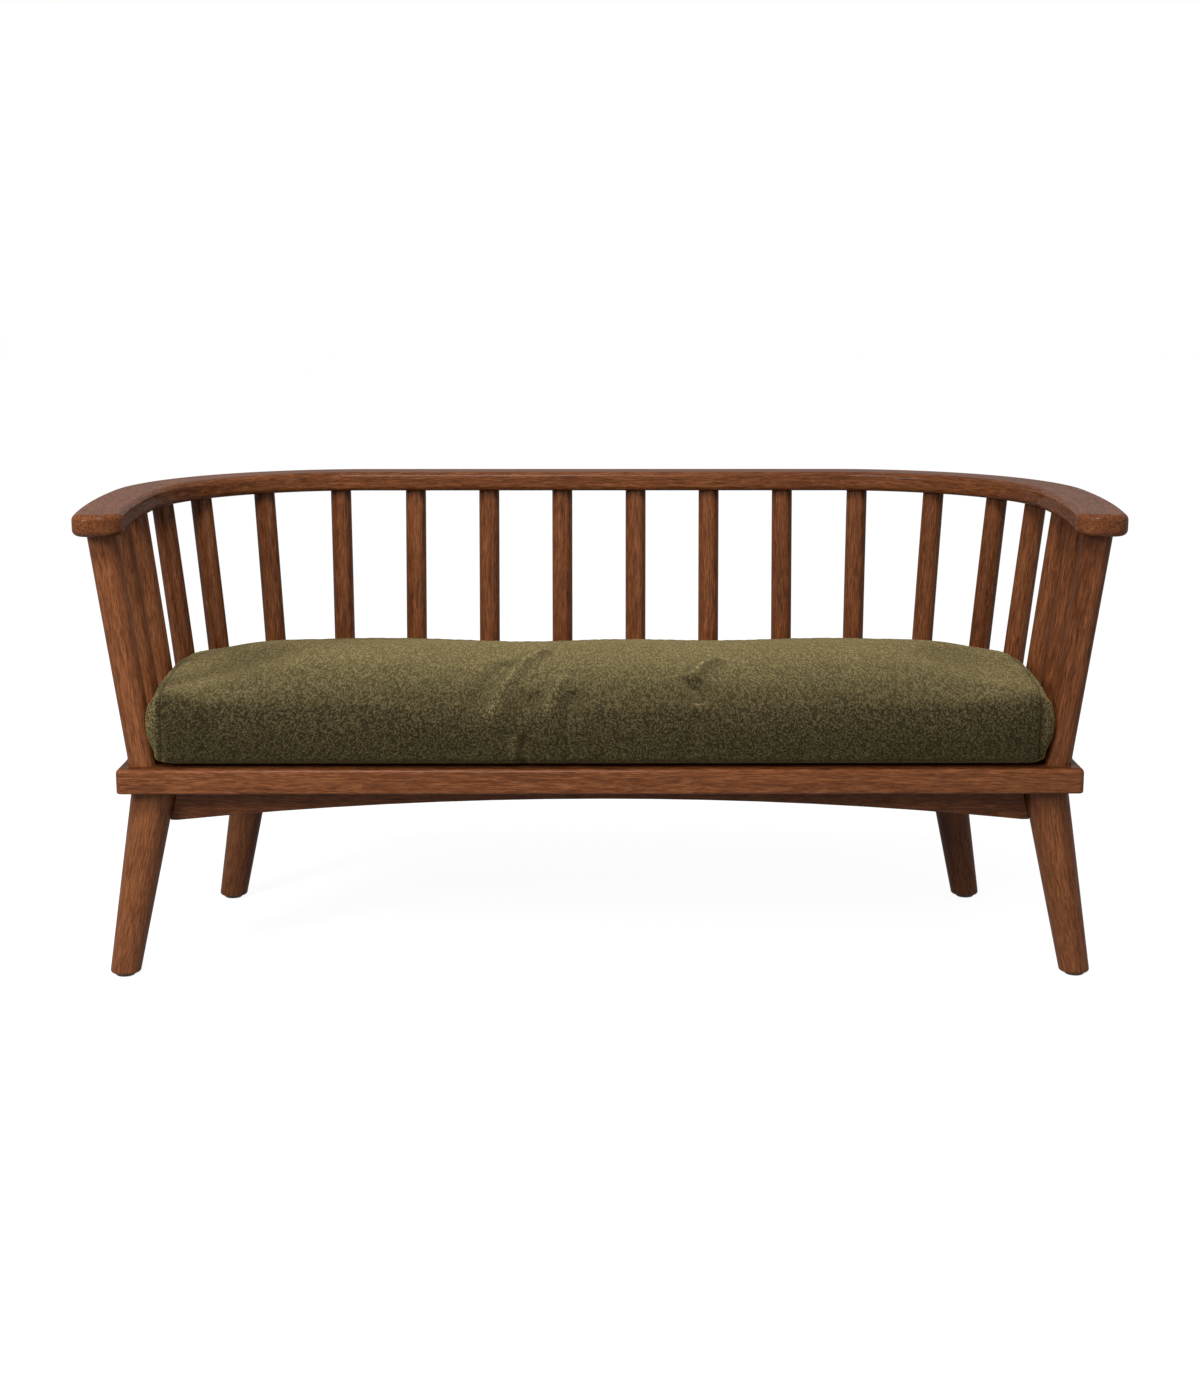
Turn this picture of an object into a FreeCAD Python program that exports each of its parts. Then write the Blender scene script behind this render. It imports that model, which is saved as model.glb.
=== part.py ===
import FreeCAD, Part
import math
import os

Vector = FreeCAD.Vector

# Garden sofa. Millimetres and degrees. X runs along the seat, Y from front to back, Z up.
# The origin is on the floor, under the middle of the sofa.

# Top rail: a flat horseshoe, straight along the back, that turns forward into two arms
overall_depth = 766.0
rail_underside = 713.0
rail_thickness = 34.0
rail_width = 78.0
rail_roundover = 10.0
back_straight = 846.0
corner_radius = 357.0
corner_turn = 88.0
arm_radius = 2000.0
arm_outer_round = 28.0
arm_inner_round = 36.0
rail_joint_turn = 79.0

# Seat frame: a closed D under the rail, drawn in by the lean of the back
seat_top = 348.0
seat_thickness = 40.0
seat_frame_width = 80.0
seat_roundover = 8.0
seat_lower_round = 3.0
seat_edge = 29.0
seat_setback = 30.0
seat_corner_round = 9.0

# Spindles: their lean in plan, and their places along the rail from the middle of the back
spindle_diameter = 37.0
spindle_lean = 46.0
spindle_places = (67.5, 202.0, 337.0, 475.0, 619.0, 754.0, 860.0, 980.0, 1110.0)
spindle_tenon_diameter = 22.0
tenon_depth = 20.0
tenon_relief = 1.0

# Arm posts: rounded oblong sections, wider at the arm than at the seat
post_setback = 65.0
post_lean = 48.0
post_head_width = 46.0
post_head_depth = 50.0
post_foot_width = 42.0
post_foot_depth = 46.0
post_edge_round = 17.0
post_tenon_diameter = 28.0

# Legs: round, tapered and splayed, with a glide under each
front_leg_inset = 48.0
front_leg_setback = 61.0
back_leg_inset = 47.5
back_leg_setback = 233.0
leg_side_splay = 57.0
leg_depth_splay = 13.0
leg_top_diameter = 69.0
leg_foot_diameter = 47.0
leg_taper_overrun = 0.1
leg_foot_round = 4.0
glide_diameter = 32.0
glide_height = 5.0
glide_chamfer = 1.5
glide_stem_diameter = 6.0
glide_stem_length = 16.0
leg_bolt_diameter = 10.0
leg_bolt_in_leg = 45.0
leg_bolt_in_frame = 18.0

# Aprons between the legs; the front and back ones have an arched lower edge
apron_thickness = 22.0
apron_setback = 15.0
apron_height = 58.0
apron_rise = 34.0
side_apron_height = 46.0
apron_edge_round = 2.5
apron_shadow_gap = 1.5
apron_tenon_thickness = 10.0
apron_tenon_height = 26.0
apron_tenon_from_axis = 15.0
apron_tenon_root = 40.0

# Seat deck: slats from front to back on two cleats and a cross rail over the back legs
slat_count = 9
slat_pitch = 150.0
slat_width = 105.0
slat_thickness = 16.0
slat_end_gap = 3.0
bearer_thickness = 22.0
cross_rail_width = 70.0
cleat_width = 24.0
screw_diameter = 4.4
screw_head_diameter = 9.0
screw_head_height = 3.0
screw_point = 4.0

# Dowels across the butt joints of the rail and of the seat frame
dowel_diameter = 10.0
dowel_length = 60.0
rail_dowel_spread = 36.0
seat_dowel_spread = 52.0

# Cushion: a D that leans with the spindles, rounded below, with a soft shoulder and a low crown
cushion_gap = 0.8
cushion_post_gap = 0.6
cushion_front_gap = 9.0
cushion_front_round = 30.0
cushion_foot_tuck = 15.0
cushion_foot_height = 26.0
cushion_belt = 66.0
cushion_shoulder_reach = 40.0
cushion_shoulder = 103.0
cushion_fullness = 2.7
cushion_crown_share = 0.3
cushion_crown = 129.0
cushion_foot_sections = 4
cushion_shoulder_sections = 6
cushion_crown_sections = 3

# Clearance around tenons, dowels, bolts and screws, and beside coped or curved ends
fit = 0.2

# Levels and centres that follow from the sizes above
rail_middle = rail_underside + rail_thickness / 2
rail_back = overall_depth / 2 - rail_width / 2
arm_end = -overall_depth / 2
seat_bottom = seat_top - seat_thickness
seat_middle = seat_top - seat_thickness / 2
seat_front = arm_end + seat_setback
seat_inside_front = seat_front + seat_frame_width
seat_outside = seat_edge - spindle_lean
seat_inside = seat_outside - seat_frame_width
half_straight = back_straight / 2
cushion_crown_reach = cushion_crown_share * overall_depth
turn = math.radians(corner_turn)
joint_turn = math.radians(rail_joint_turn)
span = 4 * overall_depth
up = Vector(0, 0, 1)


def polar(centre, radius, angle):
    # Angles turn from straight back (+Y) towards the right (+X)
    return centre + Vector(radius * math.sin(angle), radius * math.cos(angle), 0)


corner_centre = Vector(half_straight, rail_back - corner_radius, 0)
arm_centre = polar(corner_centre, corner_radius - arm_radius, turn)


def arm_angle(offset, depth):
    return math.acos((depth - arm_centre.y) / (arm_radius + offset))


def along_rail(place):
    # Point on the rail's middle line, and the angle of its outward normal
    if place <= half_straight:
        return Vector(place, rail_back, 0), 0.0
    angle = (place - half_straight) / corner_radius
    if angle <= turn:
        return polar(corner_centre, corner_radius, angle), angle
    angle = turn + (place - half_straight - corner_radius * turn) / arm_radius
    return polar(arm_centre, arm_radius, angle), angle


def at_height(point, height):
    return Vector(point.x, point.y, height)


def line(start, end):
    return Part.makeLine(start, end)


def arc(centre, radius, start, end):
    middle = polar(centre, radius, (start + end) / 2)
    return Part.Arc(polar(centre, radius, start), middle, polar(centre, radius, end)).toShape()


def mirrored(shape):
    return shape.mirror(Vector(0, 0, 0), Vector(1, 0, 0))


def closed_wire(right_edges, middle_edges):
    edges = right_edges + [mirrored(edge) for edge in right_edges] + middle_edges
    return Part.Wire(Part.__sortEdges__(edges))


def cross_line(half_length, depth):
    return line(Vector(-half_length, depth, 0), Vector(half_length, depth, 0))


def front_round(offset, front, radius, side):
    # Centre of the round between an arm edge and a straight front, inside (1) or outside (-1) the edge
    reach = arm_radius + offset - side * radius
    angle = math.acos((front + radius - arm_centre.y) / reach)
    return polar(arm_centre, reach, angle), angle


def side_edges(offset, front_angle):
    corner = arc(corner_centre, corner_radius + offset, 0, turn)
    arm = arc(arm_centre, arm_radius + offset, turn, front_angle)
    return [corner, arm]


def d_outline(offset, front, radius):
    centre, angle = front_round(offset, front, radius, 1)
    edges = side_edges(offset, angle) + [arc(centre, radius, angle, math.pi)]
    back = cross_line(half_straight, rail_back + offset)
    return closed_wire(edges, [back, cross_line(centre.x, front)])


def horseshoe_outline(half_width, front, outer_radius, inner_radius):
    outer, outer_angle = front_round(half_width, front, outer_radius, 1)
    inner, inner_angle = front_round(-half_width, front, inner_radius, -1)
    edges = side_edges(half_width, outer_angle) + side_edges(-half_width, inner_angle)
    edges.append(arc(outer, outer_radius, outer_angle, math.pi))
    edges.append(arc(inner, inner_radius, math.pi, math.pi + inner_angle))
    edges.append(line(polar(outer, outer_radius, math.pi), polar(inner, inner_radius, math.pi)))
    backs = [cross_line(half_straight, rail_back + side) for side in (half_width, -half_width)]
    return closed_wire(edges, backs)


def front_rail_end():
    # The front rail is as long as the hoop behind it is wide
    return polar(arm_centre, arm_radius + seat_outside, arm_angle(seat_outside, seat_inside_front))


def front_rail_outline():
    end = front_rail_end()
    centre = Vector(end.x - seat_corner_round, seat_front + seat_corner_round, 0)
    corner = arc(centre, seat_corner_round, math.pi / 2, math.pi)
    side = line(end, Vector(end.x, centre.y, 0))
    return closed_wire([corner, side], [cross_line(centre.x, seat_front), cross_line(end.x, end.y)])


def prism(wire, low, high):
    face = Part.Face(wire)
    face.translate(Vector(0, 0, low))
    return face.extrude(Vector(0, 0, high - low))


def rounded_over(solid, upper, lower, limit):
    # Round the level edges that reach forward of a depth limit, the upper and the lower ones
    middle = solid.BoundBox.Center.z
    for radius, side in ((upper, 1), (lower, -1)):
        boxes = [(edge, edge.BoundBox) for edge in solid.Edges]
        level = [pair for pair in boxes if pair[1].ZLength < fit and side * (pair[1].ZMin - middle) > 0]
        solid = solid.makeFillet(radius, [edge for edge, box in level if box.YMin < limit - fit])
    return solid


def keep(shape, point, normal):
    block = Part.makeBox(span, span, span, Vector(0, -span / 2, -span / 2))
    block.Placement = FreeCAD.Placement(point, FreeCAD.Rotation(Vector(1, 0, 0), normal))
    return shape.common(block)


def between(shape, low, high):
    return keep(keep(shape, Vector(0, 0, low), up), Vector(0, 0, high), -up)


def rod(radius, start, end, low, high):
    # Round bar along the line from start to end, cut level at two heights
    run = end - start
    return between(Part.makeCylinder(radius, 3 * run.Length, start - run, run), low, high)


def cut_all(shape, tools):
    return shape.cut(Part.makeCompound(tools))


def with_mirrors(tools):
    return tools + [mirrored(tool) for tool in tools]


# Spindles and posts

def lean_axis(point, angle, lean):
    head = at_height(point, rail_middle)
    foot = at_height(polar(point, -lean, angle), seat_top)
    return foot, head


def socket(diameter, axis):
    low = seat_top - tenon_depth - tenon_relief
    high = rail_underside + tenon_depth + tenon_relief
    return rod(diameter / 2 + fit, axis[0], axis[1], low, high)


def tenon_bar(diameter, axis):
    return rod(diameter / 2, axis[0], axis[1], seat_top - tenon_depth, rail_underside + tenon_depth)


def spindle(axis):
    body = rod(spindle_diameter / 2, axis[0], axis[1], seat_top, rail_underside)
    return body.fuse(tenon_bar(spindle_tenon_diameter, axis)).removeSplitter()


def oblong(centre, width, depth, angle, growth):
    # Section with rounded edges, its width along the rail's normal
    half_flat = width / 2 - post_edge_round
    half_side = depth / 2 - post_edge_round
    corners = [(half_flat, half_side, 0), (half_flat, -half_side, 1)]
    corners += [(-half_flat, -half_side, 2), (-half_flat, half_side, 3)]
    quarter = math.pi / 2
    radius = post_edge_round + growth
    arcs = [arc(Vector(x, y, 0), radius, n * quarter, (n + 1) * quarter) for x, y, n in corners]
    ends = [edge.Vertexes for edge in arcs]
    lines = [line(ends[n][1].Point, ends[(n + 1) % 4][0].Point) for n in range(4)]
    wire = Part.Wire(Part.__sortEdges__(arcs + lines))
    wire.rotate(Vector(0, 0, 0), up, 90 - math.degrees(angle))
    wire.translate(centre)
    return wire


def post_body(axis, angle, growth):
    run = axis[1] - axis[0]
    head = axis[0] + run * ((rail_underside - seat_top) / run.z)
    sections = [oblong(axis[0], post_foot_width, post_foot_depth, angle, growth)]
    sections.append(oblong(head, post_head_width, post_head_depth, angle, growth))
    return Part.makeLoft(sections, True, True)


def arm_post(axis, angle):
    return post_body(axis, angle, 0).fuse(tenon_bar(post_tenon_diameter, axis)).removeSplitter()


spindle_axes = []
for place in spindle_places:
    point, normal_angle = along_rail(place)
    spindle_axes.append(lean_axis(point, normal_angle, spindle_lean))

post_angle = arm_angle(0, arm_end + post_setback)
post_axis = lean_axis(polar(arm_centre, arm_radius, post_angle), post_angle, post_lean)

right_sockets = [socket(spindle_tenon_diameter, axis) for axis in spindle_axes]
right_sockets.append(socket(post_tenon_diameter, post_axis))


# Dowels: middle point and direction of each, on the right-hand side

def dowel_pair(points, direction):
    return [(point, direction) for point in points]


def back_joint_dowels(offset, height, spread):
    depths = [rail_back + offset + side * spread / 2 for side in (1, -1)]
    return dowel_pair([Vector(half_straight, depth, height) for depth in depths], Vector(1, 0, 0))


def corner_joint_dowels(offset, height, spread):
    radii = [corner_radius + offset + side * spread / 2 for side in (1, -1)]
    points = [at_height(polar(corner_centre, radius, joint_turn), height) for radius in radii]
    return dowel_pair(points, Vector(math.cos(joint_turn), -math.sin(joint_turn), 0))


def front_joint_dowels(offset, height, spread):
    angle = arm_angle(offset, seat_inside_front)
    middle = at_height(polar(arm_centre, arm_radius + offset, angle), height)
    points = [middle + Vector(side * spread / 2, 0, 0) for side in (1, -1)]
    return dowel_pair(points, Vector(0, 1, 0))


def dowel(place, clearance):
    point, direction = place
    length = dowel_length + 2 * clearance
    start = point - direction * (length / 2)
    return Part.makeCylinder(dowel_diameter / 2 + clearance, length, start, direction)


seat_line = (seat_outside + seat_inside) / 2
rail_dowel_places = back_joint_dowels(0, rail_middle, rail_dowel_spread)
rail_dowel_places += corner_joint_dowels(0, rail_middle, rail_dowel_spread)
seat_dowel_places = back_joint_dowels(seat_line, seat_middle, seat_dowel_spread)
seat_dowel_places += corner_joint_dowels(seat_line, seat_middle, seat_dowel_spread)
seat_dowel_places += front_joint_dowels(seat_line, seat_middle, seat_dowel_spread)


# Legs, named by their ends: front or back, on the right-hand side

def frame_inside(depth):
    # Half the width inside the seat frame's corners at a depth
    radius = corner_radius + seat_inside
    rise = depth - corner_centre.y
    return corner_centre.x + math.sqrt(radius * radius - rise * rise)


front_leg_head = Vector(front_rail_end().x - front_leg_inset, seat_front + front_leg_setback, seat_bottom)
back_leg_depth = rail_back - back_leg_setback
back_leg_head = Vector(frame_inside(back_leg_depth) - back_leg_inset, back_leg_depth, seat_bottom)
leg_heads = {"front": front_leg_head, "back": back_leg_head}
leg_feet = {
    "front": at_height(front_leg_head + Vector(leg_side_splay, -leg_depth_splay, 0), 0),
    "back": at_height(back_leg_head + Vector(leg_side_splay, leg_depth_splay, 0), 0),
}


def leg_cone(end, clearance):
    # The taper runs on past both ends, so that level cuts leave whole faces
    run = leg_heads[end] - leg_feet[end]
    flare = leg_taper_overrun * (leg_top_diameter - leg_foot_diameter) / 2
    foot_radius = leg_foot_diameter / 2 - flare + clearance
    head_radius = leg_top_diameter / 2 + flare + clearance
    length = (1 + 2 * leg_taper_overrun) * run.Length
    return Part.makeCone(foot_radius, head_radius, length, leg_feet[end] - run * leg_taper_overrun, run)


def leg_bolt(end, clearance):
    low = seat_bottom - leg_bolt_in_leg - clearance
    high = seat_bottom + leg_bolt_in_frame + clearance
    return rod(leg_bolt_diameter / 2 + clearance, leg_feet[end], leg_heads[end], low, high)


def foot_point(end):
    run = leg_heads[end] - leg_feet[end]
    return leg_feet[end] + run * (glide_height / run.z)


def glide_stem(end, clearance):
    length = glide_stem_length + clearance
    return Part.makeCylinder(glide_stem_diameter / 2 + clearance, length, foot_point(end), up)


def glide(end):
    disc = Part.makeCylinder(glide_diameter / 2, glide_height, at_height(foot_point(end), 0), up)
    rim = [edge for edge in disc.Edges if edge.BoundBox.ZMax < fit]
    return disc.makeChamfer(glide_chamfer, rim).fuse(glide_stem(end, 0)).removeSplitter()


# Aprons: boards between two leg heads, coped to the legs, with a tenon into each

def apron_frame(start, end):
    middle = at_height((start + end) / 2, seat_bottom)
    return FreeCAD.Placement(middle, FreeCAD.Rotation(Vector(1, 0, 0), end - start))


def apron_tenons(start, end, height, clearance):
    length = (end - start).Length
    depth = apron_tenon_thickness + 2 * clearance
    tall = apron_tenon_height + 2 * clearance
    low = -height / 2 - tall / 2
    reach = apron_tenon_root + leg_top_diameter / 2 - apron_tenon_from_axis + clearance
    tip = length / 2 - apron_tenon_from_axis + clearance
    tenons = [Part.makeBox(reach, depth, tall, Vector(tip - reach, -depth / 2, low))]
    tenons.append(Part.makeBox(reach, depth, tall, Vector(-tip, -depth / 2, low)))
    for tenon in tenons:
        tenon.Placement = apron_frame(start, end)
    return tenons


def arch_cut(length, height, rise):
    half_chord = (length - leg_top_diameter) / 2
    radius = (half_chord * half_chord + rise * rise) / (2 * rise)
    centre = Vector(0, -apron_thickness, rise - height - radius)
    return Part.makeCylinder(radius, 2 * apron_thickness, centre, Vector(0, 1, 0))


def apron_board(length, height, clearance):
    thick = apron_thickness + 2 * clearance
    return Part.makeBox(length, thick, height, Vector(-length / 2, -thick / 2, -height))


def apron_space(start, end, height):
    board = apron_board((end - start).Length, height, fit)
    board.Placement = apron_frame(start, end)
    return board


def apron(start, end, height, rise, copes):
    length = (end - start).Length
    board = apron_board(length, height, 0)
    if rise > 0:
        board = board.cut(arch_cut(length, height, rise))
    lower = [edge for edge in board.Edges if edge.BoundBox.YLength < fit and edge.BoundBox.ZMax < -fit]
    board = board.makeFillet(apron_edge_round, [edge for edge in lower if edge.BoundBox.XLength > fit])
    board.Placement = apron_frame(start, end)
    board = cut_all(board, copes)
    return board.multiFuse(apron_tenons(start, end, height, 0)).removeSplitter()


def across(point):
    return Vector(-point.x, point.y, point.z)


front_apron_end = front_leg_head + Vector(0, apron_setback, 0)
back_apron_end = back_leg_head - Vector(0, apron_setback, 0)
front_apron_ends = (across(front_apron_end), front_apron_end)
back_apron_ends = (across(back_apron_end), back_apron_end)
side_apron_ends = (front_leg_head, back_leg_head)
front_copes = with_mirrors([leg_cone("front", apron_shadow_gap)])
back_copes = with_mirrors([leg_cone("back", apron_shadow_gap)])
side_copes = [leg_cone("front", fit), leg_cone("back", fit)]
side_copes.append(apron_space(*front_apron_ends, apron_height))
side_copes.append(apron_space(*back_apron_ends, apron_height))
leg_mortises = {
    "front": apron_tenons(*front_apron_ends, apron_height, fit),
    "back": apron_tenons(*back_apron_ends, apron_height, fit),
}
side_mortises = apron_tenons(*side_apron_ends, side_apron_height, fit)


def leg(end):
    body = between(leg_cone(end, 0), glide_height, seat_bottom)
    rim = [edge for edge in body.Edges if edge.BoundBox.ZMax < glide_height + fit]
    body = body.makeFillet(leg_foot_round, rim)
    tools = leg_mortises[end] + side_mortises + [leg_bolt(end, fit), glide_stem(end, fit)]
    return cut_all(body, tools)


# Seat deck

bearer_top = seat_bottom + bearer_thickness
slat_top = bearer_top + slat_thickness
cleat_middle = seat_inside_front + cleat_width / 2
slat_middles = [(number - (slat_count - 1) / 2) * slat_pitch for number in range(slat_count)]


def inside(low, high, gap):
    return prism(d_outline(seat_inside - gap, seat_front, seat_corner_round), low, high)


def deck_board(low, high, x_range, y_range, gap):
    size = Vector(x_range[1] - x_range[0], y_range[1] - y_range[0], high - low)
    board = Part.makeBox(size.x, size.y, size.z, Vector(x_range[0], y_range[0], low))
    return board.common(inside(low, high, gap))


def screw(middle, depth, clearance):
    point = seat_bottom + screw_point - clearance
    shank = Part.makeCylinder(
        screw_diameter / 2 + clearance, slat_top - point, Vector(middle, depth, point), up
    )
    head_base = Vector(middle, depth, slat_top - screw_head_height)
    head = Part.makeCone(
        screw_diameter / 2 + clearance, screw_head_diameter / 2 + clearance, screw_head_height, head_base, up
    )
    return shank.fuse(head).removeSplitter()


screw_depths = (cleat_middle, back_leg_head.y - cross_rail_width / 4)
screw_places = [(middle, depth) for middle in slat_middles for depth in screw_depths]
screw_holes = [screw(middle, depth, fit) for middle, depth in screw_places]


def bearer(depth, width):
    limits = (depth - width / 2, depth + width / 2)
    return deck_board(seat_bottom, bearer_top, (-span / 2, span / 2), limits, fit)


def slat(middle):
    sides = (middle - slat_width / 2, middle + slat_width / 2)
    board = deck_board(bearer_top, slat_top, sides, (seat_inside_front + slat_end_gap, span), slat_end_gap)
    return cut_all(board, screw_holes)


# Cushion

def cushion_section(height, inset):
    # The flank leans outward with the spindles, up to the belt
    lean = spindle_lean / (rail_middle - seat_top) * min(height, cushion_belt)
    offset = lean - spindle_lean - spindle_diameter / 2 - cushion_gap - inset
    wire = d_outline(offset, seat_front + cushion_front_gap + inset, cushion_front_round)
    wire.translate(Vector(0, 0, seat_top + height))
    return wire


def cushion():
    sections = []
    for number in range(cushion_foot_sections):
        angle = math.pi / 2 * number / cushion_foot_sections
        inset = cushion_foot_tuck * (1 - math.sin(angle))
        sections.append(cushion_section(cushion_foot_height * (1 - math.cos(angle)), inset))
    sections.append(cushion_section(cushion_foot_height, 0))
    for number in range(cushion_shoulder_sections):
        angle = math.pi / 2 * number / cushion_shoulder_sections
        inset = cushion_shoulder_reach * (1 - math.cos(angle) ** (2 / cushion_fullness))
        rise = (cushion_shoulder - cushion_belt) * math.sin(angle) ** (2 / cushion_fullness)
        sections.append(cushion_section(cushion_belt + rise, inset))
    for number in range(cushion_crown_sections + 1):
        left = 1 - number / cushion_crown_sections
        inset = cushion_crown_reach - (cushion_crown_reach - cushion_shoulder_reach) * left
        height = cushion_crown - (cushion_crown - cushion_shoulder) * left * left
        sections.append(cushion_section(height, inset))
    body = Part.makeLoft(sections, True, True)
    return cut_all(body, with_mirrors([post_body(post_axis, post_angle, cushion_post_gap)]))


# Pieces

pieces = {}


def add_both(name, shape):
    pieces[name + "_right"] = shape
    pieces[name + "_left"] = mirrored(shape)


def corner_plane(shape, forward):
    facing = Vector(math.cos(joint_turn), -math.sin(joint_turn), 0)
    return keep(shape, corner_centre, facing if forward else -facing)


def right_part(shape):
    return keep(shape, Vector(half_straight, 0, 0), Vector(1, 0, 0))


def middle_part(shape):
    trimmed = keep(shape, Vector(half_straight, 0, 0), Vector(-1, 0, 0))
    trimmed = keep(trimmed, Vector(-half_straight, 0, 0), Vector(1, 0, 0))
    return keep(trimmed, corner_centre, Vector(0, 1, 0))


rail_outline = horseshoe_outline(rail_width / 2, arm_end, arm_outer_round, arm_inner_round)
rail_blank = prism(rail_outline, rail_underside, rail_underside + rail_thickness)
rail = rounded_over(rail_blank, rail_roundover, rail_roundover, span)
rail_tools = right_sockets + [dowel(place, fit) for place in rail_dowel_places]
rail = cut_all(rail, with_mirrors(rail_tools))
pieces["top_rail_back"] = middle_part(rail)
add_both("top_rail_corner", corner_plane(right_part(rail), False))
add_both("arm", corner_plane(right_part(rail), True))

for number, axis in enumerate(spindle_axes, 1):
    shape = spindle(axis)
    pieces["spindle_right_%d" % number] = shape
    pieces["spindle_left_%d" % number] = mirrored(shape)

add_both("arm_post", arm_post(post_axis, post_angle))

seat_tools = right_sockets + [dowel(place, fit) for place in seat_dowel_places] + [leg_bolt("front", fit)]
seat_tools = with_mirrors(seat_tools)
front_board = prism(front_rail_outline(), seat_bottom, seat_top)
front_board = rounded_over(front_board, seat_roundover, seat_lower_round, seat_inside_front)
pieces["seat_front_rail"] = cut_all(front_board, seat_tools)
seat_blank = prism(d_outline(seat_outside, seat_front, seat_corner_round), seat_bottom, seat_top)
seat_hoop = rounded_over(seat_blank, seat_roundover, seat_lower_round, span)
seat_hoop = seat_hoop.cut(inside(seat_bottom, seat_top, 0))
seat_hoop = keep(cut_all(seat_hoop, seat_tools), Vector(0, seat_inside_front, 0), Vector(0, 1, 0))
pieces["seat_back_rail"] = middle_part(seat_hoop)
add_both("seat_corner", corner_plane(right_part(seat_hoop), False))
add_both("seat_side", corner_plane(right_part(seat_hoop), True))

cross_rail_bolts = with_mirrors([leg_bolt("back", fit)])
pieces["cross_rail"] = cut_all(bearer(back_leg_head.y, cross_rail_width), screw_holes + cross_rail_bolts)
pieces["front_cleat"] = cut_all(bearer(cleat_middle, cleat_width), screw_holes)
back_cleat_limits = (rail_back + seat_inside - cleat_width, rail_back + seat_inside)
back_cleat_sides = (-half_straight, half_straight)
pieces["back_cleat"] = deck_board(seat_bottom, bearer_top, back_cleat_sides, back_cleat_limits, fit)
for number, middle in enumerate(slat_middles, 1):
    pieces["seat_slat_%d" % number] = slat(middle)

pieces["front_apron"] = apron(*front_apron_ends, apron_height, apron_rise, front_copes)
pieces["back_apron"] = apron(*back_apron_ends, apron_height, apron_rise, back_copes)
add_both("side_apron", apron(*side_apron_ends, side_apron_height, 0, side_copes))

for end in leg_heads:
    add_both("leg_%s" % end, leg(end))
    add_both("glide_%s" % end, glide(end))

right_bolts = [leg_bolt(end, 0) for end in leg_heads]
pieces["leg_bolts"] = Part.makeCompound(with_mirrors(right_bolts))
pieces["slat_screws"] = Part.makeCompound([screw(middle, depth, 0) for middle, depth in screw_places])
right_dowels = [dowel(place, 0) for place in rail_dowel_places + seat_dowel_places]
pieces["frame_dowels"] = Part.makeCompound(with_mirrors(right_dowels))
pieces["seat_cushion"] = cushion()

os.makedirs("parts", exist_ok=True)
for name, shape in pieces.items():
    shape.exportStep("parts/%s.step" % name)
    print(name, len(shape.Solids), shape.isValid(), round(shape.Volume / 1000.0, 1))
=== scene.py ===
import math

import bmesh
import bpy
import numpy as np
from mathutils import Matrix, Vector
from mathutils.bvhtree import BVHTree


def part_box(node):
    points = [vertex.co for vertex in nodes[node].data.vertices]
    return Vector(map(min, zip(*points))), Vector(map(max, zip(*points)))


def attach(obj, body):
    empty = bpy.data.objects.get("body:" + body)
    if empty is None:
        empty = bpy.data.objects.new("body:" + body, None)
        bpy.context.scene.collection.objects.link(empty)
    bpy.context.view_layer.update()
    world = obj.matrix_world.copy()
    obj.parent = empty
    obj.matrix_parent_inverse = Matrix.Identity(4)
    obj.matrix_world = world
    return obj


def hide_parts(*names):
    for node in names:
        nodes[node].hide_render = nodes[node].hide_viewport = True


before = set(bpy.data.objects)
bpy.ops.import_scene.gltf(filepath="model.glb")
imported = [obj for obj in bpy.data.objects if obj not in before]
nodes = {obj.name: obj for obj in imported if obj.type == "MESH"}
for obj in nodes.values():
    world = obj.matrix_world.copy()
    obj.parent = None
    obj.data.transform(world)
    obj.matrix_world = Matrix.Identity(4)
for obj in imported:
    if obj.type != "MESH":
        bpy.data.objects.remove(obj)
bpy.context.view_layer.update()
scene = bpy.context.scene
print("frame loaded:", len(nodes), "nodes")


# node tree helpers

def feed(tree, socket, value):
    if isinstance(value, bpy.types.NodeSocket):
        tree.links.new(value, socket)
    else:
        socket.default_value = value


def addNode(tree, kind, inputs=None, **settings):
    node = tree.nodes.new("ShaderNode" + kind)
    for key, value in settings.items():
        setattr(node, key, value)
    for key, value in (inputs or {}).items():
        feed(tree, node.inputs[key], value)
    return node


def addMath(tree, operation, first, second=0.0, third=0.0):
    return addNode(tree, "Math", {0: first, 1: second, 2: third}, operation=operation).outputs[0]


def addVectorMath(tree, operation, first, second=(0, 0, 0)):
    return addNode(tree, "VectorMath", {0: first, 1: second}, operation=operation).outputs[0]


def addNoise(tree, vector, scale, detail=2.0, roughness=0.5):
    inputs = {"Vector": vector, "Scale": scale, "Detail": detail, "Roughness": roughness}
    return addNode(tree, "TexNoise", inputs).outputs


def addStretchedNoise(tree, vector, scales, detail=2.0, roughness=0.5):
    return addNoise(tree, addVectorMath(tree, "MULTIPLY", vector, scales), 1.0, detail, roughness)


def addMapRange(tree, value, start, end, low=0.0, high=1.0):
    inputs = {"Value": value, "From Min": start, "From Max": end, "To Min": low, "To Max": high}
    return addNode(tree, "MapRange", inputs).outputs[0]


def addRamp(tree, factor, stops):
    ramp = addNode(tree, "ValToRGB", {"Fac": factor})
    points = ramp.color_ramp.elements
    while len(points) < len(stops):
        points.new(0.5)
    for point, (place, colour) in zip(points, stops):
        point.position = place
        point.color = (*colour, 1.0)
    return ramp.outputs["Color"]


def addMix(tree, factor, first, second, blend="MIX"):
    node = addNode(tree, "Mix", data_type="RGBA", blend_type=blend)
    # the colour sockets of this node come after those for numbers and vectors
    for number, value in ((0, factor), (6, first), (7, second)):
        feed(tree, node.inputs[number], value)
    return node.outputs[2]


def addTint(tree, mask, colour, factors):
    return addMix(tree, mask, colour, addMix(tree, 1.0, colour, (*factors, 1.0), "MULTIPLY"))


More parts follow.
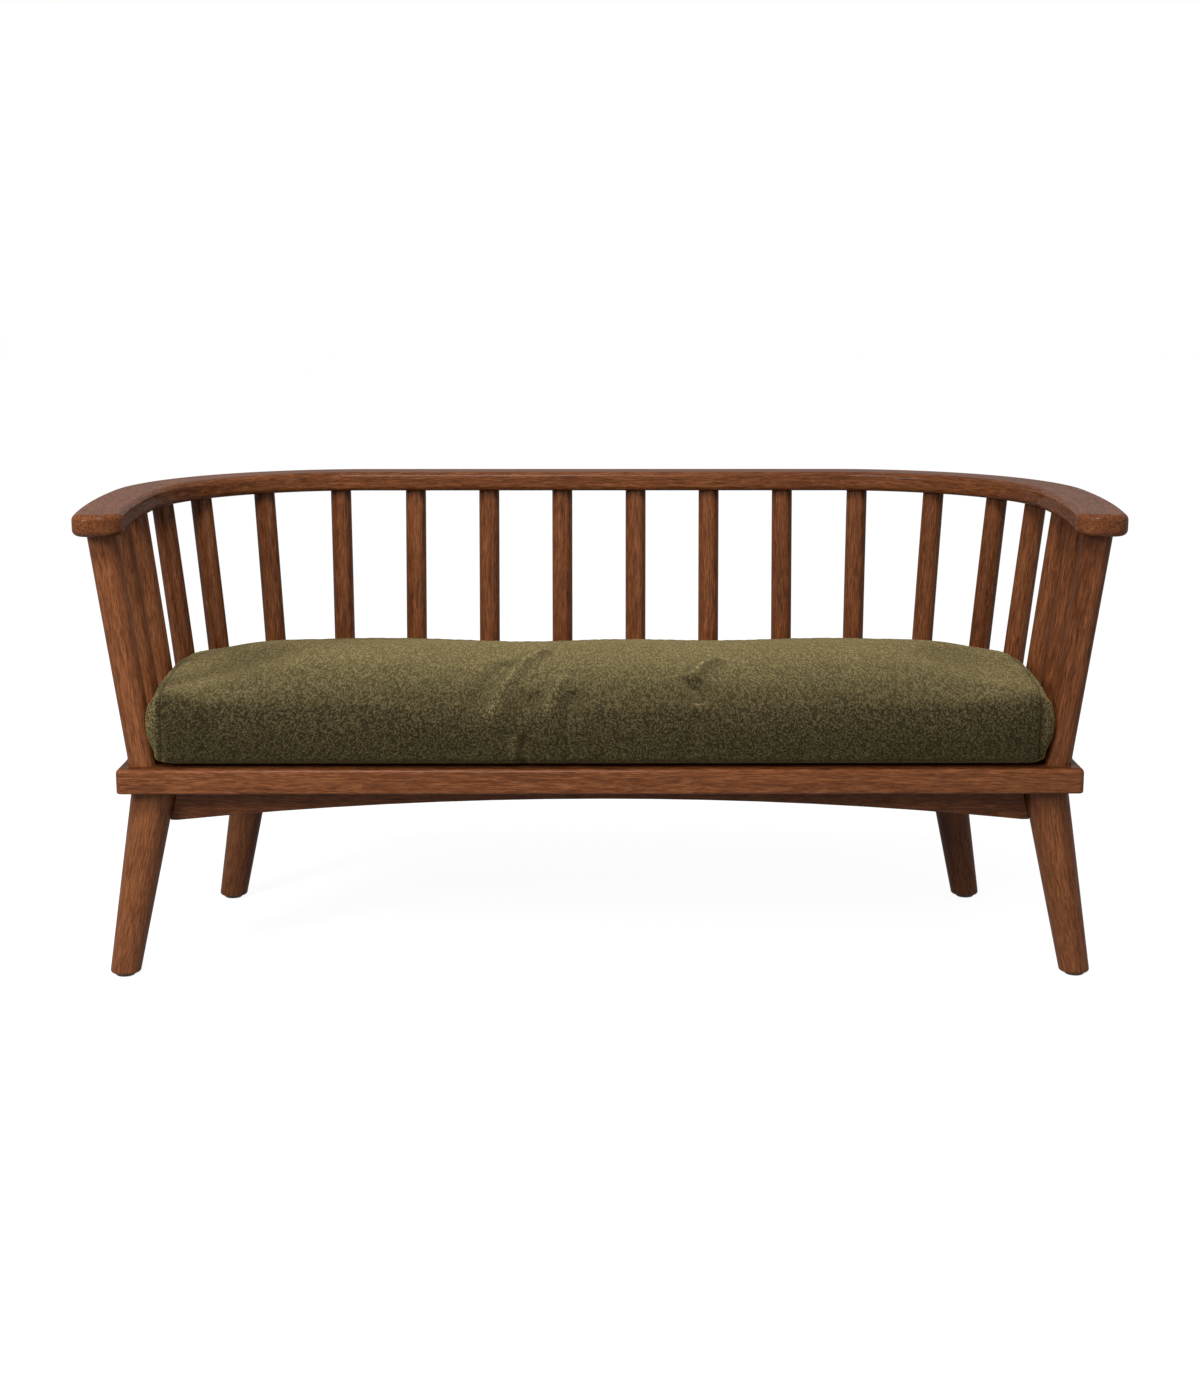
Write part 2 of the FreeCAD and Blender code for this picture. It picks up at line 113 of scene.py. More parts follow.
def newGroup(name, inputs, outputs):
    group = bpy.data.node_groups.new(name, "ShaderNodeTree")
    for direction, sockets in (("INPUT", inputs), ("OUTPUT", outputs)):
        for label, kind in sockets.items():
            group.interface.new_socket(label, in_out=direction, socket_type="NodeSocket" + kind)
    return group, group.nodes.new("NodeGroupInput").outputs, group.nodes.new("NodeGroupOutput").inputs


def useGroup(tree, group, inputs):
    node = tree.nodes.new("ShaderNodeGroup")
    node.node_tree = group
    for key, value in inputs.items():
        feed(tree, node.inputs[key], value)
    return node.outputs


def newMaterial(name):
    material = bpy.data.materials.new(name)
    material.use_nodes = True
    tree = material.node_tree
    return material, tree, tree.nodes["Principled BSDF"].inputs


def dress(mesh, material):
    mesh.materials.clear()
    mesh.materials.append(material)


# oiled hardwood: the grain runs along the first axis of the vector it is given

woodLook = {
    "dark": (0.050, 0.0145, 0.0046),
    "middle": (0.166, 0.0535, 0.0184),
    "light": (0.316, 0.117, 0.044),
    "stops": (0.31, 0.50, 0.69),
    # how often each pattern changes, along and across the grain
    "drift": (1.6, 11, 11),
    "ripple": (38, 60, 60),
    "fibres": (30, 480, 480),
    "flecks": (46, 820, 820),
    "patches": (9, 26, 26),
    # how far the first two bend the grain, in metres
    "driftReach": 0.022,
    "rippleReach": 0.0045,
    "ringPitch": 0.0075,
    "ringChange": 1.7,
    "pith": (0.0, 0.11, -0.17),
    "ringShare": 0.24,
    "fibreShare": 0.62,
    "patchShare": 0.14,
    "poreRange": (0.58, 0.72),
    "poreDark": 0.5,
    "poreDepth": 0.9,
    "faceRange": (0.75, 0.95),
    "roughness": 0.56,
    "roughnessSpread": 0.16,
    "oilFilm": 0.16,
    "oilRoughness": 0.18,
    "bump": 0.22,
    "bumpDistance": 0.001,
}


def makeWoodGrain():
    group, given, made = newGroup(
        "oiledWoodGrain",
        {"Vector": "Vector", "Tone": "Float"},
        {"Color": "Color", "Roughness": "Float", "Height": "Float"},
    )
    place = given["Vector"]
    bent = place
    for name, detail in (("drift", 2.0), ("ripple", 1.0)):
        sway = addStretchedNoise(group, place, woodLook[name], detail)["Color"]
        sway = addVectorMath(group, "SUBTRACT", sway, (0.5, 0.5, 0.5))
        reach = woodLook[name + "Reach"]
        bent = addVectorMath(group, "ADD", bent, addVectorMath(group, "MULTIPLY", sway, (0, reach, reach)))
    aside = addVectorMath(group, "SUBTRACT", bent, woodLook["pith"])
    aside = addVectorMath(group, "MULTIPLY", aside, (0, 1, 1))
    radius = addNode(group, "VectorMath", {0: aside}, operation="LENGTH").outputs["Value"]
    along = addNode(group, "SeparateXYZ", {"Vector": place}).outputs["X"]
    ringPlace = addNode(group, "CombineXYZ", {
        "X": addMath(group, "MULTIPLY", along, woodLook["ringChange"]),
        "Y": addMath(group, "DIVIDE", radius, woodLook["ringPitch"]),
    }).outputs[0]
    rings = addNoise(group, ringPlace, 1.0, detail=3.0, roughness=0.55)["Fac"]
    fibres = addStretchedNoise(group, bent, woodLook["fibres"], detail=2.0, roughness=0.6)["Fac"]
    flecks = addStretchedNoise(group, bent, woodLook["flecks"], detail=1.0)["Fac"]
    patches = addStretchedNoise(group, place, woodLook["patches"], detail=3.0, roughness=0.6)["Fac"]
    figure = given["Tone"]
    for pattern, share in ((rings, "ringShare"), (fibres, "fibreShare"), (patches, "patchShare")):
        figure = addMath(group, "MULTIPLY_ADD", pattern, woodLook[share], figure)
    colours = [woodLook[name] for name in ("dark", "middle", "light")]
    colour = addRamp(group, figure, list(zip(woodLook["stops"], colours)))
    pores = addMapRange(group, flecks, *woodLook["poreRange"])
    darker = addMath(group, "MULTIPLY", pores, woodLook["poreDark"])
    colour = addMix(group, darker, colour, (*woodLook["dark"], 1.0))
    rough = addMath(group, "MULTIPLY_ADD", fibres, woodLook["roughnessSpread"], woodLook["roughness"])
    height = addMath(group, "SUBTRACT", fibres, addMath(group, "MULTIPLY", pores, woodLook["poreDepth"]))
    group.links.new(colour, made["Color"])
    group.links.new(rough, made["Roughness"])
    group.links.new(height, made["Height"])
    return group


# straightens the grain of a piece that curves round an upright axis

def makeBentGrain():
    group, given, made = newGroup(
        "bentGrain",
        {"Vector": "Vector", "Radius": "Float", "Turn": "Float", "Start": "Float", "Side": "Float"},
        {"Vector": "Vector"},
    )
    parts = addNode(group, "SeparateXYZ", {"Vector": given["Vector"]}).outputs
    across = addMath(group, "MULTIPLY", parts["X"], given["Side"])
    angle = addMath(group, "SUBTRACT", addMath(group, "ARCTAN2", across, parts["Y"]), given["Turn"])
    run = addMath(group, "MULTIPLY_ADD", angle, given["Radius"], given["Start"])
    flat = addNode(group, "CombineXYZ", {"X": parts["X"], "Y": parts["Y"]}).outputs[0]
    reach = addNode(group, "VectorMath", {0: flat}, operation="LENGTH").outputs["Value"]
    straight = addNode(group, "CombineXYZ", {
        "X": addMath(group, "MULTIPLY", run, given["Side"]),
        "Y": addMath(group, "SUBTRACT", reach, given["Radius"]),
        "Z": parts["Z"],
    })
    group.links.new(straight.outputs[0], made["Vector"])
    return group


woodGrain = makeWoodGrain()
bentGrain = makeBentGrain()


def finishWood(node, place, tone, face=(0, 0, 1), faceTone=0.0):
    # place: a function that adds the nodes for the piece's own grain direction
    # face and faceTone: the face that looks darker or lighter, as darker end grain or as a painted shadow
    material, tree, shader = newMaterial("oiledWood_" + node)
    given = addNode(tree, "TexCoord").outputs
    along = addNode(tree, "VectorMath", {0: given["Normal"], 1: face}, operation="DOT_PRODUCT")
    faced = addMapRange(tree, along.outputs["Value"], *woodLook["faceRange"], tone, tone + faceTone)
    grain = useGroup(tree, woodGrain, {"Vector": place(tree, given["Object"]), "Tone": faced})
    bump = addNode(tree, "Bump", {
        "Strength": woodLook["bump"], "Distance": woodLook["bumpDistance"], "Height": grain["Height"],
    })
    shader["Specular IOR Level"].default_value = 0.0
    shader["Coat Weight"].default_value = woodLook["oilFilm"]
    shader["Coat Roughness"].default_value = woodLook["oilRoughness"]
    tree.links.new(grain["Color"], shader["Base Color"])
    tree.links.new(grain["Roughness"], shader["Roughness"])
    tree.links.new(bump.outputs[0], shader["Normal"])
    dress(nodes[node].data, material)


def straightGrain(direction, middle, shift):
    turn = Vector(direction).rotation_difference(Vector((1, 0, 0))).to_matrix()
    offset = Vector(shift) - turn @ Vector(middle)

    def place(tree, spot):
        inputs = {"Vector": spot, "Location": offset, "Rotation": turn.to_euler()}
        return addNode(tree, "Mapping", inputs).outputs[0]
    return place


def curvedGrain(centre, radius, turn, start, side, shift):
    def place(tree, spot):
        away = (-side * centre[0], -centre[1], -centre[2])
        moved = addNode(tree, "Mapping", {"Vector": spot, "Location": away}).outputs[0]
        inputs = {"Vector": moved, "Radius": radius, "Turn": turn, "Start": start, "Side": side}
        return addVectorMath(tree, "ADD", useGroup(tree, bentGrain, inputs)["Vector"], shift)
    return place


# the hoop that the top rail and the seat frame follow, in metres and radians
hoop = {
    "backDepth": 0.344,
    "halfStraight": 0.423,
    "cornerRadius": 0.357,
    "cornerTurn": math.radians(88),
    "armRadius": 2.0,
    "endGrain": -0.035,
}
hoop["cornerCentre"] = (hoop["halfStraight"], hoop["backDepth"] - hoop["cornerRadius"])
hoop["armTurn"] = (math.sin(hoop["cornerTurn"]), math.cos(hoop["cornerTurn"]))
hoop["armCentre"] = tuple(
    middle - (hoop["armRadius"] - hoop["cornerRadius"]) * part
    for middle, part in zip(hoop["cornerCentre"], hoop["armTurn"])
)
hoop["armStart"] = hoop["halfStraight"] + hoop["cornerRadius"] * hoop["cornerTurn"]
sides = {"left": -1.0, "right": 1.0}
spindleNumbers = range(1, 10)
topRail = {
    "back": "top_rail_back", "corner": "top_rail_corner", "arm": "arm",
    "offset": 0.0, "height": 0.73, "shift": (0.4, 0, 0), "tone": 0.0,
}
seatFrame = {
    "back": "seat_back_rail", "corner": "seat_corner", "arm": "seat_side",
    "offset": -0.057, "height": 0.328, "shift": (5.4, 0.01, 0.02), "tone": -0.01,
}


def finishHoop(back, corner, arm, offset, height, shift, tone):
    depth = hoop["backDepth"] + offset
    finishWood(back, straightGrain((1, 0, 0), (0, depth, height), shift), tone)
    for label, side in sides.items():
        bend = (*hoop["cornerCentre"], height)
        radius = hoop["cornerRadius"] + offset
        grain = curvedGrain(bend, radius, 0.0, hoop["halfStraight"], side, shift)
        finishWood(f"{corner}_{label}", grain, tone)
        bend = (*hoop["armCentre"], height)
        radius = hoop["armRadius"] + offset
        grain = curvedGrain(bend, radius, hoop["cornerTurn"], hoop["armStart"], side, shift)
        finishWood(f"{arm}_{label}", grain, tone, (0, -1, 0), hoop["endGrain"])


def endToEnd(node, reach=0.002):
    # line through the middles of an upright piece's two ends
    points = np.array([v.co for v in nodes[node].data.vertices])
    low, high = points[:, 2].min(), points[:, 2].max()
    foot = points[points[:, 2] < low + reach].mean(0)
    head = points[points[:, 2] > high - reach].mean(0)
    return Vector(foot), Vector(head)


# pieces painted lighter or darker than the rest, partly for their own tone and partly as painted light and
# shade, and a top painted darker along the cushion, a painted shadow
paintedTopShadow = {"seat_front_rail": -0.13}
toneAndPaintedLight = {
    "arm_post_left": 0.06, "leg_front_left": 0.07, "leg_back_left": 0.05, "leg_front_right": 0.03,
    "seat_front_rail": 0.02, "front_apron": 0.005, "spindle_left_9": 0.09, "spindle_left_8": 0.07,
    "spindle_left_2": -0.01, "spindle_left_1": -0.01, "spindle_right_1": 0.02,
}


# where in the log each kind of piece is cut, so that no two show the same grain
uprightCut = {"step": (0.731, 0.017, 0.023), "tone": -0.012, "toneSpread": 0.012, "toneTurn": 2.4}
boardCut = {"step": 9.3, "aside": (0.01, -0.015)}
slatCut = {"count": 9, "step": 3.7, "aside": (0.02, 0.01), "tone": 0.01}
sideApronCut = {"step": 7.1, "aside": (0, 0.02), "tone": 0.0}
dowelCut = {"shift": (2.2, 0, 0), "tone": 0.02}


def finishUpright(node, number):
    foot, head = endToEnd(node)
    along, across, up = uprightCut["step"]
    shift = (along * number, across * (number % 5 - 2), up * (number % 7 - 3))
    tone = uprightCut["toneSpread"] * math.sin(uprightCut["toneTurn"] * number) + uprightCut["tone"]
    # listed pieces take their own tone, which is partly painted light and shade
    finishWood(node, straightGrain(head - foot, foot, shift), toneAndPaintedLight.get(node, tone))


def boxMiddle(node):
    low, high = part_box(node)
    return (low + high) / 2


def finishFrame():
    finishHoop(**topRail)
    finishHoop(**seatFrame)
    uprights = [f"spindle_{label}_{n}" for label in sides for n in spindleNumbers]
    uprights += [f"arm_post_{label}" for label in sides]
    uprights += [f"leg_{end}_{label}" for end in ("front", "back") for label in sides]
    for number, node in enumerate(uprights, 1):
        finishUpright(node, number)
    boards = ["seat_front_rail", "front_apron", "back_apron", "cross_rail", "front_cleat", "back_cleat"]
    for number, node in enumerate(boards, 1):
        shift = (boardCut["step"] * number, *boardCut["aside"])
        grain = straightGrain((1, 0, 0), boxMiddle(node), shift)
        # listed pieces are painted lighter or darker, partly as painted light and shade, and the seat rail's
        # top gets a painted shadow
        finishWood(node, grain, toneAndPaintedLight.get(node, 0.0), (0, 0, 1), paintedTopShadow.get(node, 0.0))
    for number in range(1, slatCut["count"] + 1):
        node = f"seat_slat_{number}"
        shift = (slatCut["step"] * number, *slatCut["aside"])
        finishWood(node, straightGrain((0, 1, 0), boxMiddle(node), shift), slatCut["tone"])
    for label, side in sides.items():
        node = f"side_apron_{label}"
        low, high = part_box(node)
        lean = (-side * (high.x - low.x), high.y - low.y, 0)
        shift = (sideApronCut["step"] * side, *sideApronCut["aside"])
        finishWood(node, straightGrain(lean, boxMiddle(node), shift), sideApronCut["tone"])
    grain = straightGrain((1, 0, 0), boxMiddle("frame_dowels"), dowelCut["shift"])
    finishWood("frame_dowels", grain, dowelCut["tone"])


finishFrame()
print("wood finished")


# dark plastic glides and plain steel fasteners

glideLook = {
    "name": "darkGlide", "dark": (0.010, 0.008, 0.007), "light": (0.030, 0.024, 0.020),
    "roughness": 0.5, "grit": 900, "metallic": 0.0,
}
steelLook = {
    "name": "plainSteel", "dark": (0.36, 0.36, 0.36), "light": (0.58, 0.58, 0.57),
    "roughness": 0.28, "grit": 600, "metallic": 1.0,
}
gritLook = {"stops": (0.3, 0.7), "roughnessSpread": 0.2, "bump": 0.1, "bumpDistance": 0.0005}


def finishSmall(look, targets):
    material, tree, shader = newMaterial(look["name"])
    spot = addNode(tree, "TexCoord").outputs["Object"]
    speckle = addNoise(tree, spot, look["grit"], detail=3.0)["Fac"]
    colour = addRamp(tree, speckle, list(zip(gritLook["stops"], (look["dark"], look["light"]))))
    rough = addMath(tree, "MULTIPLY_ADD", speckle, gritLook["roughnessSpread"], look["roughness"])
    bump = addNode(tree, "Bump", {
        "Strength": gritLook["bump"], "Distance": gritLook["bumpDistance"], "Height": speckle,
    })
    tree.links.new(colour, shader["Base Color"])
    tree.links.new(rough, shader["Roughness"])
    tree.links.new(bump.outputs[0], shader["Normal"])
    shader["Metallic"].default_value = look["metallic"]
    for node in targets:
        dress(nodes[node].data, material)


finishSmall(glideLook, [f"glide_{end}_{label}" for end in ("front", "back") for label in sides])
finishSmall(steelLook, ["leg_bolts", "slat_screws"])
print("glides and fasteners finished")


# seat cushion

cushionLook = {
    "ground": (0.0150, 0.0112, 0.0042),
    "cloth": (0.035, 0.0272, 0.0108),
    "yarn": (0.092, 0.074, 0.033),
    # painted sheen: how much paler the faces that look up are painted
    "topSheen": (3.3, 3.3, 3.4),
    # painted highlight on the crests of the folds
    "crestHighlightTint": (3.2, 3.2, 3.4),
    # painted sheen: the side panel is painted paler
    "side": (2.2, 2.2, 2.25),
    "stops": (0.28, 0.57, 0.90),
    # how fast the painted sheen on the top fades as a face slopes
    "topSheenLean": 0.19,
    # the curls are drawn out from front to back, as the pile is stroked
    "stroke": (1, 0.25, 1),
    "curlScale": 180.0,
    "curlLines": 3.6,
    "fuzzScale": 520.0,
    "clumpScale": 62.0,
    "cloudScale": 14.0,
    "curlShare": 0.62,
    "fuzzShare": 0.26,
    "clumpShare": 0.12,
    "cloudShare": 0.14,
    # where the painted paler side panel begins beyond the seam
    "sidePanel": (-0.002, -0.009),
    # the band of the darker seam line and how dark it is
    "seamBand": (0.0006, 0.0022),
    "seamDark": 0.75,
    "roughness": 0.95,
    "specular": 0.1,
    "sheen": 0.62,
    "sheenRoughness": 0.42,
    "sheenTint": (0.60, 0.475, 0.205),
    "bump": 0.6,
    "bumpDistance": 0.0016,
}


def makeChenille():
    material, tree, shader = newMaterial("oliveChenille")
    given = addNode(tree, "TexCoord").outputs
    spot = addVectorMath(tree, "MULTIPLY", given["Object"], cushionLook["stroke"])
    curl = addNoise(tree, spot, cushionLook["curlScale"], detail=1.0)["Fac"]
    lines = addMath(tree, "PINGPONG", addMath(tree, "MULTIPLY", curl, cushionLook["curlLines"]), 0.5)
    pile = addMath(tree, "MULTIPLY", lines, 2.0 * cushionLook["curlShare"])
    for name, detail in (("fuzz", 2.0), ("clump", 2.0), ("cloud", 3.0)):
        pattern = addNoise(tree, spot, cushionLook[name + "Scale"], detail, roughness=0.6)["Fac"]
        pile = addMath(tree, "MULTIPLY_ADD", pattern, cushionLook[name + "Share"], pile)
    colours = [cushionLook[name] for name in ("ground", "cloth", "yarn")]
    colour = addRamp(tree, pile, list(zip(cushionLook["stops"], colours)))
    # the top is painted paler, a painted sheen on the faces that look up: lean is the sine of the slope
    facing = addNode(tree, "SeparateXYZ", {"Vector": given["Normal"]}).outputs["Z"]
    lean = addMath(tree, "MULTIPLY_ADD", facing, addMath(tree, "MULTIPLY", facing, -1.0), 1.0)
    lean = addMath(tree, "SQRT", lean)
    topSheen = addMath(tree, "EXPONENT", addMath(tree, "DIVIDE", lean, -cushionLook["topSheenLean"]))
    topSheen = addMath(tree, "MULTIPLY", topSheen, addMath(tree, "GREATER_THAN", facing, 0.0))
    colour = addTint(tree, topSheen, colour, cushionLook["topSheen"])
    # painted highlights make the crests of the folds paler
    crestHighlight = addNode(tree, "Attribute", attribute_name="crestHighlight").outputs["Fac"]
    colour = addTint(tree, crestHighlight, colour, cushionLook["crestHighlightTint"])
    sewn = addNode(tree, "Attribute", attribute_name="seam").outputs["Fac"]
    # the side panel is painted paler too, a painted sheen where its pile runs the other way
    aside = addMapRange(tree, sewn, *cushionLook["sidePanel"])
    colour = addTint(tree, aside, colour, cushionLook["side"])
    # the seam line is darkened to the pile's ground colour
    away = addMath(tree, "ABSOLUTE", sewn)
    seamDarkening = addMapRange(tree, away, *cushionLook["seamBand"], cushionLook["seamDark"], 0.0)
    colour = addMix(tree, seamDarkening, colour, (*cushionLook["ground"], 1.0))
    bump = addNode(tree, "Bump", {
        "Strength": cushionLook["bump"], "Distance": cushionLook["bumpDistance"], "Height": pile,
    })
    tree.links.new(colour, shader["Base Color"])
    tree.links.new(bump.outputs[0], shader["Normal"])
    shader["Roughness"].default_value = cushionLook["roughness"]
    shader["Specular IOR Level"].default_value = cushionLook["specular"]
    shader["Sheen Weight"].default_value = cushionLook["sheen"]
    shader["Sheen Roughness"].default_value = cushionLook["sheenRoughness"]
    shader["Sheen Tint"].default_value = (*cushionLook["sheenTint"], 1.0)
    return material


# metres: names in Foot and Height are heights over the cushion's bottom, names in Depth lie behind
# its front, and of a pair the first is where an effect begins and the second where it is full
cushionForm = {
    "weld": 0.0001,
    "voxel": 0.006,
    "wall": 0.057,             # from the middle of the rail in to the cushion's side
    "seamInset": 0.022,        # from the side in to the seam of the top panel
    "seamReach": 0.012,
    "shrink": 0.005,
    "fillFoot": (0.004, 0.030),
    "quickSeam": 0.5,
    "heldFoot": 0.003,
    "heldSeam": 0.004,
    "heldSeamFoot": 0.020,
    "quality": 4,
    "frames": 20,
    "pressure": 2.0,
    "fillLimit": 0.010,
    "evenRounds": 25,
    # middle section from front to back and front from bottom to top, as depth and height
    "topLine": [
        (-0.350, 0.412), (-0.346, 0.4215), (-0.342, 0.428), (-0.331, 0.438), (-0.320, 0.444),
        (-0.308, 0.4495), (-0.281, 0.459), (-0.237, 0.469), (-0.180, 0.477), (-0.130, 0.4805),
        (-0.060, 0.482), (0.0, 0.4818), (0.050, 0.4795), (0.100, 0.473), (0.200, 0.456),
        (0.250, 0.4455), (0.285, 0.434),
    ],
    "frontLine": [
        (-0.333, 0.349), (-0.3405, 0.352), (-0.3455, 0.356), (-0.347, 0.360), (-0.349, 0.370),
        (-0.350, 0.380), (-0.3508, 0.393), (-0.3505, 0.404), (-0.349, 0.415), (-0.345, 0.4235),
        (-0.340, 0.430), (-0.331, 0.438),
    ],
    "topSpan": (-0.352, 0.285),
    "frontSpan": (0.349, 0.440),
    "spanSlots": 64,
    "spanLeast": 0.5,
    "settlePasses": 3,
    "settleRounds": 10,
    "settleHalfWidth": 0.5,
    "settleFront": -0.2,
    "settleFacing": 0.1,
    "settleFoot": (0.012, 0.030),
    "frontLift": 0.0035,
    "frontLiftDepth": (0.020, 0.060),
    "frontLiftHeight": (0.0, 0.020),
    "sideLift": 0.020,
    "backSideLift": 0.006,
    "backSide": (-0.05, 0.15),
    "sideLiftReach": 0.07,
    "sideLiftHeight": (0.03, 0.09),
    "backCorner": (0.60, 0.10),
    "backCornerReach": (0.09, 0.13),
    "backCornerLift": 0.012,
    "topHeight": (0.06, 0.10),
    "cornerSwell": 0.0165,
    "cornerSwellAside": (0.650, 0.700),
    "cornerSwellDepth": (0.010, 0.040),
    "cornerSwellHeight": (0.006, 0.05),
    # each dip in the top as place, reach and drop
    "dips": [(-0.135, 0.14, 0.0070), (0.208, 0.14, 0.0050)],
    # strength and width of the painted highlight along the crests of raised folds
    "crestHighlightShare": 0.34,
    "crestHighlightWidth": 0.7,
    "seamFoot": 0.006,
    "seamSnap": 0.0015,
    "grooveDepth": 0.0026,
    "grooveWidth": 0.0028,
    "grooveHeight": (0.004, 0.014),
    "puffRise": 0.0009,
    "puffPlace": 0.007,
    "puffWidth": 0.004,
    "puckerSlant": 0.8,
    # each wave of the puckers as strength, length in a radian and start
    "puckers": [(0.25, 0.0026, 0.0), (0.2, 0.0071, 1.0)],
    "near": 0.004,
    "clearance": 0.0012,
}

# soft folds where the cover is drawn in: points along the fold, half width, height
cushionFolds = [
    ([(-0.100, -0.040, 0.481), (-0.136, -0.154, 0.477), (-0.151, -0.229, 0.469), (-0.159, -0.273, 0.459),
      (-0.170, -0.336, 0.432)], 0.017, 0.0075),
    ([(-0.150, -0.140, 0.477), (-0.172, -0.229, 0.468), (-0.182, -0.280, 0.457),
      (-0.192, -0.330, 0.437)], 0.019, -0.0062),
    ([(-0.060, -0.229, 0.469), (-0.079, -0.310, 0.448), (-0.082, -0.336, 0.432)], 0.014, 0.0065),
    ([(-0.110, -0.290, 0.455), (-0.118, -0.335, 0.432)], 0.016, -0.0060),
    ([(-0.043, -0.287, 0.456), (-0.055, -0.343, 0.424), (-0.052, -0.350, 0.386),
      (-0.043, -0.346, 0.370)], 0.011, -0.0088),
    ([(-0.134, -0.351, 0.394), (-0.135, -0.347, 0.371)], 0.009, 0.0058),
    ([(-0.119, -0.350, 0.391), (-0.119, -0.342, 0.361)], 0.008, -0.0075),
    ([(0.147, -0.220, 0.470), (0.164, -0.167, 0.476), (0.186, -0.119, 0.479)], 0.015, 0.0068),
    ([(0.150, -0.254, 0.464), (0.153, -0.299, 0.452)], 0.013, -0.0080),
    ([(0.146, -0.342, 0.427), (0.143, -0.350, 0.402), (0.142, -0.347, 0.371)], 0.012, -0.0062),
]


def evaluatedMesh(piece):
    bpy.context.view_layer.update()
    return bpy.data.meshes.new_from_object(piece.evaluated_get(bpy.context.evaluated_depsgraph_get()))


def readPoints(mesh, field="co"):
    points = np.empty(len(mesh.vertices) * 3, np.float32)
    mesh.vertices.foreach_get(field, points)
    return points.reshape(-1, 3).astype(float)


def writePoints(mesh, points):
    mesh.vertices.foreach_set("co", points.astype(np.float32).ravel())
    mesh.update()


def ease(value, start, end):
    part = np.clip((value - start) / (end - start), 0.0, 1.0)
    return part * part * (3.0 - 2.0 * part)


def overBottom(points):
    return points[:, 2] - points[:, 2].min()


def seamDistance(points):
    # how far inside the seam a point lies, seen from above
    x, y = np.abs(points[:, 0]), points[:, 1]
    cornerX, cornerY = hoop["cornerCentre"]
    armX, armY = hoop["armCentre"]
    back = hoop["backDepth"] - y
    corner = hoop["cornerRadius"] - np.hypot(x - cornerX, y - cornerY)
    arm = hoop["armRadius"] - np.hypot(x - armX, y - armY)
    bent = np.arctan2(x - cornerX, y - cornerY) < hoop["cornerTurn"]
    inside = np.where(x < cornerX, np.minimum(back, arm), np.where(bent, corner, arm))
    return inside - cushionForm["wall"] - cushionForm["seamInset"]


def nearSeam(points):
    return np.exp(-(seamDistance(points) / cushionForm["seamReach"]) ** 2)


def evenOut(mesh, values, rounds, share=0.6):
    ends = np.empty(len(mesh.edges) * 2, np.int32)
    mesh.edges.foreach_get("vertices", ends)
    first, second = ends.reshape(-1, 2).T
    count = np.bincount(ends, minlength=len(values))[:, None]
    for _ in range(rounds):
        total = np.zeros_like(values)
        for axis in range(3):
            total[:, axis] += np.bincount(first, values[second, axis], len(values))
            total[:, axis] += np.bincount(second, values[first, axis], len(values))
        values = (1 - share) * values + share * total / count
    return values


def startCushion():
    mesh = bpy.data.meshes.new("seatCushion")
    cutting = bmesh.new()
    cutting.from_mesh(nodes["seat_cushion"].data)
    bmesh.ops.remove_doubles(cutting, verts=cutting.verts, dist=cushionForm["weld"])
    cutting.to_mesh(mesh)
    cutting.free()
    piece = bpy.data.objects.new("seatCushion", mesh)
    scene.collection.objects.link(piece)
    remesh = piece.modifiers.new("remesh", "REMESH")
    remesh.mode = "VOXEL"
    remesh.voxel_size = cushionForm["voxel"]
    piece.data = evaluatedMesh(piece)
    piece.modifiers.clear()
    return piece


def shapeCushion(piece):
    points, normals = readPoints(piece.data), readPoints(piece.data, "normal")
    draw = cushionForm["shrink"] * (1 - nearSeam(points)) * ease(overBottom(points), *cushionForm["fillFoot"])
    writePoints(piece.data, points - normals * draw[:, None])


def fillCushion(piece):
    start, normals = readPoints(piece.data), readPoints(piece.data, "normal")
    height = overBottom(start)
    sewn = (np.abs(seamDistance(start)) < cushionForm["heldSeam"]) & (height > cushionForm["heldSeamFoot"])
    held = (height < cushionForm["heldFoot"]) | sewn
    group = piece.vertex_groups.new(name="held")
    group.add([int(n) for n in np.flatnonzero(held)], 1.0, "REPLACE")
    cloth = piece.modifiers.new("fill", "CLOTH")
    cloth.settings.quality = cushionForm["quality"]
    cloth.settings.use_pressure = True
    cloth.settings.uniform_pressure_force = cushionForm["pressure"]
    cloth.settings.effector_weights.gravity = 0.0
    cloth.settings.vertex_group_mass = "held"
    for number in range(1, cushionForm["frames"] + 1):
        scene.frame_set(number)
    move = readPoints(evaluatedMesh(piece)) - start
    piece.modifiers.clear()
    piece.vertex_groups.clear()
    scene.frame_set(1)
    move = evenOut(piece.data, move, cushionForm["evenRounds"])
    far = np.linalg.norm(move, axis=1) + 1e-9
    print("cushion filled, largest move", round(float(far.max()), 4), "mean", round(float(far.mean()), 4))
    limit = cushionForm["fillLimit"]
    writePoints(piece.data, start + move * (limit * np.tanh(far / limit) / far)[:, None])


def meanCurve(place, value, weight, low, high):
    count = cushionForm["spanSlots"]
    slots = np.clip((place - low) / (high - low) * count, 0, count - 1).astype(int)
    total = np.bincount(slots, weight, count)
    mean = np.bincount(slots, weight * value, count) / np.maximum(total, 1e-9)
    filled = total > cushionForm["spanLeast"]
    middle = low + (np.arange(count) + 0.5) * (high - low) / count
    return middle[filled], mean[filled]


def soften(values):
    for _ in range(3):
        values = np.convolve(np.pad(values, 1, "edge"), (0.25, 0.5, 0.25), "valid")
    return values


